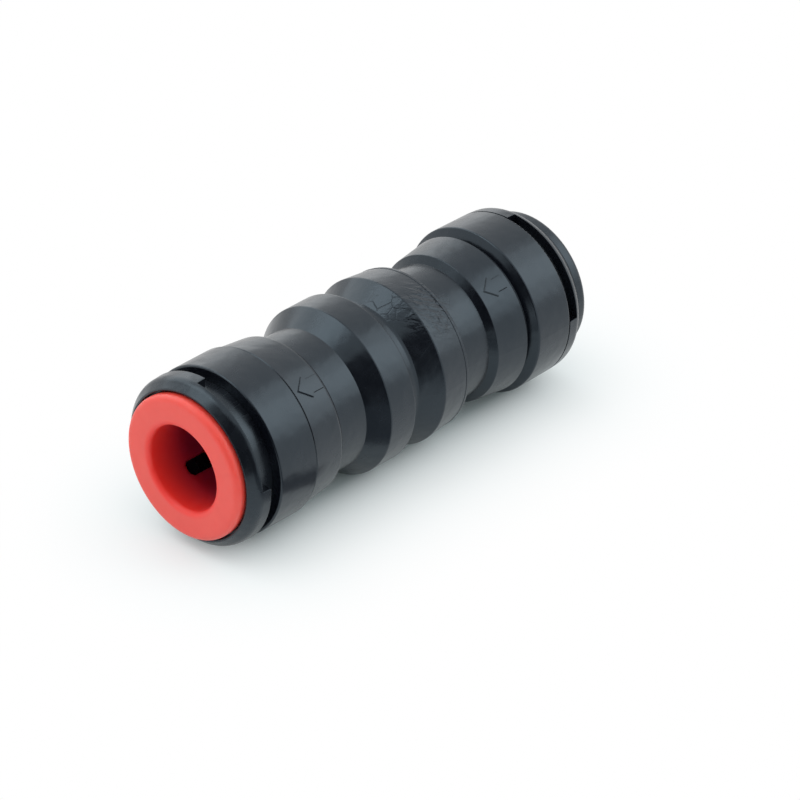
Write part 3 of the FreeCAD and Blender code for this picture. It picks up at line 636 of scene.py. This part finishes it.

# %% [markdown]
# ## The finishes
# Shell, caps and the inlet collet: black acetal with a cool satin sheen, paler where it is rubbed.
# Outlet collet: coral acetal, a little see-through; painted glow lies on its edges and bore wall,
# and painted shade turns the deep bore maroon.
# Inside, where only the open bores show them: white guides, black rubber rings and steel.

# %% Mix the plastics
SHELL_BLACK = (0.0038, 0.0044, 0.0072)
SHELL_MOTTLED = (0.006, 0.0068, 0.0105)
COOL_GLOSS = (0.69, 0.87, 1.0)
RING_WRINKLES = (on_shell(34.4, 34, 11.8), 6.2 * MM, 2.6, 1.1, 0.06)
CONE_CRACKS = (on_shell(29.5, 11, 10.9), 6 * MM, 0.2, 0.55, 0.0)
black_shell = plastic(
    "black_shell_plastic", SHELL_BLACK, SHELL_MOTTLED, rubbed_and_glow=(0.045, 0.052, 0.060),
    roughness=0.20, sheen=0.09, edge=0.04 * MM, scratch=0.1, wavy=16.0, dusty=0.003,
    patches=(RING_WRINKLES, CONE_CRACKS), gloss=COOL_GLOSS)
raised_mark = plastic(
    "raised_mark_plastic", SHELL_BLACK, SHELL_MOTTLED, rubbed_and_glow=(0.03, 0.034, 0.040),
    roughness=0.2, edge=0.03 * MM, scratch=0.0, dusty=0.0, gloss=COOL_GLOSS)
black_cap = plastic(
    "black_cap_plastic", (0.0045, 0.0052, 0.008), (0.007, 0.008, 0.0115),
    rubbed_and_glow=(0.05, 0.055, 0.062), roughness=0.23, sheen=0.09, edge=0.12 * MM, turn=1.9,
    scratch=0.35, wavy=20.0, dusty=0.03, gloss=COOL_GLOSS)
# The coral's edge colour is painted glow: a deeper orange-red for light through its thin rims.
coral = plastic(
    "coral_acetal", (0.92, 0.082, 0.060), (0.88, 0.072, 0.052), rubbed_and_glow=(0.92, 0.035, 0.015),
    roughness=0.34, sheen=0.05, edge=0.8 * MM, edge_share=0.9, scratch=0.12, wavy=12.0,
    dusty=0.004, subsurface=0.5)
white_guide = plastic(
    "white_guide_plastic", (0.72, 0.72, 0.69), (0.66, 0.66, 0.62), rubbed_and_glow=(0.80, 0.80, 0.78),
    roughness=0.42, scratch=0.15, dusty=0.0)
plastics = (black_shell, raised_mark, black_cap, coral, white_guide)
print("plastics:", [material.name for material in plastics])

# %% [markdown]
# The coral plastic lets light through, so light that comes from deep in the bore has crossed more
# of it and is maroon, and little light reaches that deep.
# A renderer could trace that with long random walks; here it is painted into the colour instead.
# Painted shade: a dark maroon that deepens with the distance from the mouth.
# Painted glow: a richer orange-red on the bore's wall, from the lip inwards.
# It is kept to the bore by the distance from the axis, and reads Object coordinates, so it moves
# with the collet.

# %% Paint shade and glow into the coral bore
def paint_bore_glow_and_shade(material, mouth_x, depth, lip_radius, bore_radius, lip_glow_colour, deep_shade_colour):
    """Paints a bore along X: painted glow from the lip inwards, and painted shade over a depth."""
    tree = material.node_tree
    shader = tree.nodes["Principled BSDF"]
    before = shader.inputs["Base Color"].links[0].from_socket
    place = put(tree, "ShaderNodeTexCoord", -1500, 900)
    split = put(tree, "ShaderNodeSeparateXYZ", -1300, 900, {0: place.outputs["Object"]}).outputs
    flat = put(tree, "ShaderNodeCombineXYZ", -1100, 750, {"Y": split["Y"], "Z": split["Z"]})
    from_axis = put(tree, "ShaderNodeVectorMath", -900, 750, {0: flat.outputs[0]},
                    operation="LENGTH")
    inside = remap(tree, -700, 750, from_axis.outputs["Value"], lip_radius, bore_radius,
                   ease="SMOOTHSTEP")
    inward = remap(tree, -900, 1000, split["X"], mouth_x, mouth_x - depth, ease="SMOOTHSTEP")
    share = reckon(tree, -500, 900, "MULTIPLY", inward, inside)
    glowing_base = mix_colour(tree, -150, 700, inside, before, lip_glow_colour)
    shaded_base = mix_colour(tree, -50, 600, share, glowing_base, deep_shade_colour)
    feed(tree, shader, {"Base Color": shaded_base})


# The bore is painted: a glow on its wall near the lip, and shade deeper in.
paint_bore_glow_and_shade(coral, mouth_x=34.6 * MM, depth=9 * MM, lip_radius=7.1 * MM, bore_radius=6.3 * MM,
            lip_glow_colour=(0.95, 0.040, 0.028), deep_shade_colour=(0.30, 0.008, 0.042))
print("bore of", coral.name, "is deepened")

# %% [markdown]
# Rubber is matt, with a bloom that greys it in patches; it has no scratches to speak of.
# Steel is the one metal: the teeth are pressed from sheet and the spring is drawn wire, so the
# grain is very fine.
# Both could have recipes of their own, but the layers are the plastics' with other amounts.

# %% Mix rubber and steel
rubber = plastic(
    "black_seal_rubber", (0.012, 0.012, 0.013), (0.024, 0.024, 0.026), rubbed_and_glow=(0.03, 0.03, 0.03),
    roughness=0.62, sheen=0.15, scratch=0.0, grain=0.01 * MM, dusty=0.0)
steel = plastic(
    "bright_steel", (0.62, 0.61, 0.59), (0.50, 0.50, 0.49), rubbed_and_glow=(0.75, 0.74, 0.72),
    roughness=0.22, sheen=0.12, scratch=0.5, grain=0.002 * MM, dusty=0.0)
steel.node_tree.nodes["Principled BSDF"].inputs["Metallic"].default_value = 1.0
print("others:", rubber.name, steel.name)

# %% [markdown]
# ## Which solid wears what
# A solid from the CAD model keeps its mesh, and only its material slot changes.

# %% Dress the solids
FINISHES = {
    black_shell: ["outlet_body", "inlet_body"],
    black_cap: ["outlet_seal_spacer", "inlet_seal_spacer", "outlet_cap", "inlet_cap",
                "inlet_collet"],
    coral: ["outlet_collet"],
    white_guide: ["valve_seat", "poppet", "poppet_nose", "poppet_cage"],
    rubber: ["outlet_tube_seal", "inlet_tube_seal", "body_joint_seal", "seat_seal", "poppet_seal"],
    steel: ["outlet_grip_teeth", "inlet_grip_teeth", "return_spring"],
}
for material, names in FINISHES.items():
    for name in names:
        slots = nodes[name].data.materials
        slots.clear()
        slots.append(material)
print("dressed", sum(map(len, FINISHES.values())), "of", len(nodes), "solids")

# %% [markdown]
# ## Flow arrows
# Two small arrows stand on the shell, cut into the mould so that they come out raised, and both
# point the way the water goes.
# A texture could fake them, but what shows is the shade on their low walls, so they are real
# relief.
# Each is drawn flat as one face, extruded, inset and lifted so that its walls slope, bevelled, and
# sliced into strips.
# Only then can it be wrapped: a single flat face can't bend round a cone, but narrow strips can.
# Two helpers come first: one finishes a small closed mesh, and one measures the shell's cones.

# %% Finish a mesh and measure a cone
OUTLET_SHOULDER = ((6.43, 11.78), (12.65, 11.15))
INLET_COLLAR = ((42.73, 10.73), (47.92, 11.36))


def closed_object(name, mesh):
    """Turns a bmesh outwards and into an object, and prints whether its surface is closed."""
    bmesh.ops.recalc_face_normals(mesh, faces=mesh.faces)
    open_edges = [edge for edge in mesh.edges if not edge.is_manifold]
    print(name, "faces:", len(mesh.faces), "open edges:", len(open_edges))
    return new_object(name, mesh)


def radius_on(cone, along):
    """Radius at a distance along a cone, given by two (distance, radius) points."""
    (first, first_radius), (last, last_radius) = cone
    return first_radius + (along - first) * (last_radius - first_radius) / (last - first)


print("shoulder's radius 9 mm from the rim:", round(radius_on(OUTLET_SHOULDER, 9), 3), "mm")

# %% Draw and wrap an arrow
ARROW_HEIGHT = 0.22
ARROW_DRAFT = 0.10
ARROW_SUNK = 0.05
ARROW_EDGE = 0.03
STRIP_DEGREES = 1.5
CUT_REACH = 0.00001


def flow_arrow(name, tip, wing, notch, tail, middle, wing_half, shaft_half, cone):
    """Raised arrow, wrapped on a cone of the shell.

    tip to tail are distances from the coral rim in mm; middle and the half widths are degrees.
    """
    mesh = bmesh.new()
    degree = math.radians(1) * radius_on(cone, (tip + tail) / 2)
    corners = [
        (tip, 0.0), (wing, wing_half), (notch, shaft_half), (tail, shaft_half),
        (tail, -shaft_half), (notch, -shaft_half), (wing, -wing_half),
    ]
    face = mesh.faces.new([mesh.verts.new((along, angle * degree, 0)) for along, angle in corners])
    mesh.normal_update()
    raised = bmesh.ops.extrude_face_region(mesh, geom=[face])
    lid = next(item for item in raised["geom"] if isinstance(item, bmesh.types.BMFace))
    bmesh.ops.translate(mesh, verts=lid.verts[:], vec=(0, 0, ARROW_SUNK))
    bmesh.ops.recalc_face_normals(mesh, faces=mesh.faces)
    bmesh.ops.inset_region(mesh, faces=[lid], thickness=ARROW_DRAFT, use_even_offset=True)
    bmesh.ops.translate(mesh, verts=lid.verts[:], vec=(0, 0, ARROW_HEIGHT))
    bmesh.ops.bevel(mesh, geom=lid.edges[:], offset=ARROW_EDGE, segments=2, affect="EDGES",
                    profile=0.5, material=-1)
    strips = math.ceil(wing_half / STRIP_DEGREES)
    for strip in range(-strips, strips + 1):
        everything = mesh.verts[:] + mesh.edges[:] + mesh.faces[:]
        cut = (0, strip * STRIP_DEGREES * degree, 0)
        bmesh.ops.bisect_plane(mesh, geom=everything, dist=CUT_REACH, plane_co=cut,
                               plane_no=(0, 1, 0))
    bmesh.ops.triangulate(mesh, faces=mesh.faces)
    for vert in mesh.verts:
        along, aside, up = vert.co
        radius = radius_on(cone, along) + up - ARROW_SUNK
        vert.co = on_shell(along, middle + aside / degree, radius)
    arrow = closed_object(name, mesh)
    arrow.data.materials.append(raised_mark)
    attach(arrow, "shell")


print("an arrow stands", ARROW_HEIGHT, "mm proud, cut into strips of", STRIP_DEGREES, "degrees")

# %% Put both arrows on
flow_arrow("outlet_flow_arrow", tip=7.47, wing=9.41, notch=9.85, tail=11.85,
           middle=40.9, wing_half=8.1, shaft_half=5.5, cone=OUTLET_SHOULDER)
flow_arrow("inlet_flow_arrow", tip=43.54, wing=45.22, notch=45.6, tail=47.1,
           middle=41.0, wing_half=8.1, shaft_half=5.3, cone=INLET_COLLAR)

# %% [markdown]
# ## Return spring
# The CAD spring is rigid, but a real one shortens as the poppet opens, with its far end still on
# the hub.
# So a coil of the same wire, turns and place stands for it here; it keeps its length.
# A curve with a round bevel could be the wire, but the spin operator makes a helix at once when
# it is given a shift for each step.

# %% Wind the return spring
SPRING_WIRE = 0.225 * MM
SPRING_SIDES = 12
SPRING_TURNS = 5
SPRING_STEPS = 240
spring_low, spring_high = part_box("return_spring")
first_ring = spring_low.x + SPRING_WIRE
last_ring = spring_high.x - SPRING_WIRE
coil_radius = spring_high.y - SPRING_WIRE
coil_mesh = bmesh.new()
section = bmesh.ops.create_circle(coil_mesh, segments=SPRING_SIDES, radius=SPRING_WIRE)
bmesh.ops.translate(coil_mesh, verts=section["verts"], vec=(first_ring, coil_radius, 0))
bmesh.ops.spin(coil_mesh, geom=coil_mesh.verts[:] + coil_mesh.edges[:], cent=(0, 0, 0),
               axis=(1, 0, 0), dvec=((last_ring - first_ring) / SPRING_STEPS, 0, 0),
               angle=SPRING_TURNS * math.tau, steps=SPRING_STEPS)
bmesh.ops.holes_fill(coil_mesh, edges=[edge for edge in coil_mesh.edges if edge.is_boundary])
spring_coil = closed_object("return_spring_coil", coil_mesh)
spring_coil.data.shade_smooth()
spring_coil.data.materials.append(steel)
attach(spring_coil, "shell")
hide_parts("return_spring")
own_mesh(spring_coil)

# %% [markdown]
# ## Witness lines
# Where two parts of the mould meet, a hair of plastic is left standing as a fine ridge.
# One runs round the back of the stop ring, and one just behind the step at the coral end's band.
# A line in the material's bump would do from in front, but only a real ridge catches the light at
# the outline.
# Each is a small triangle spun about the axis; its foot is sunk in the shell, so that no gap
# shows beneath it.

# %% Spin the witness lines
RIDGE_HALF = 0.13
RIDGE_FOOT = 0.08
RIDGE_STEPS = 180
WELD_REACH = 0.001 * MM


def witness_line(name, at, surface, height):
    """Fine ridge round the shell, at a distance from the coral rim, on a radius, all in mm."""
    mesh = bmesh.new()
    foot = surface - RIDGE_FOOT
    section = [(at - RIDGE_HALF, foot), (at, surface + height), (at + RIDGE_HALF, foot)]
    corners = [mesh.verts.new(on_shell(along, 0, radius)) for along, radius in section]
    sides = [mesh.edges.new((corners[k], corners[(k + 1) % 3])) for k in range(3)]
    bmesh.ops.spin(mesh, geom=corners + sides, cent=(0, 0, 0), axis=(1, 0, 0),
                   angle=math.tau, steps=RIDGE_STEPS, use_merge=True)
    bmesh.ops.remove_doubles(mesh, verts=mesh.verts, dist=WELD_REACH)
    ridge = closed_object(name, mesh)
    ridge.data.materials.append(raised_mark)
    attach(ridge, "shell")


witness_line("stop_ring_witness_line", at=35.5, surface=11.55, height=0.09)
witness_line("band_witness_line", at=6.78, surface=11.825, height=0.035)

# %% [markdown]
# ## Sizes and the end
# The dressed valve must not have outgrown the solids, so its growth over the solids' box is
# printed.

# %% Measure and finish
low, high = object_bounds()
growth = [(h - l) - (ch - cl) for l, h, cl, ch in zip(low, high, cad_low, cad_high)]
print("grown by, in mm:", [round(extra / MM, 3) for extra in growth])
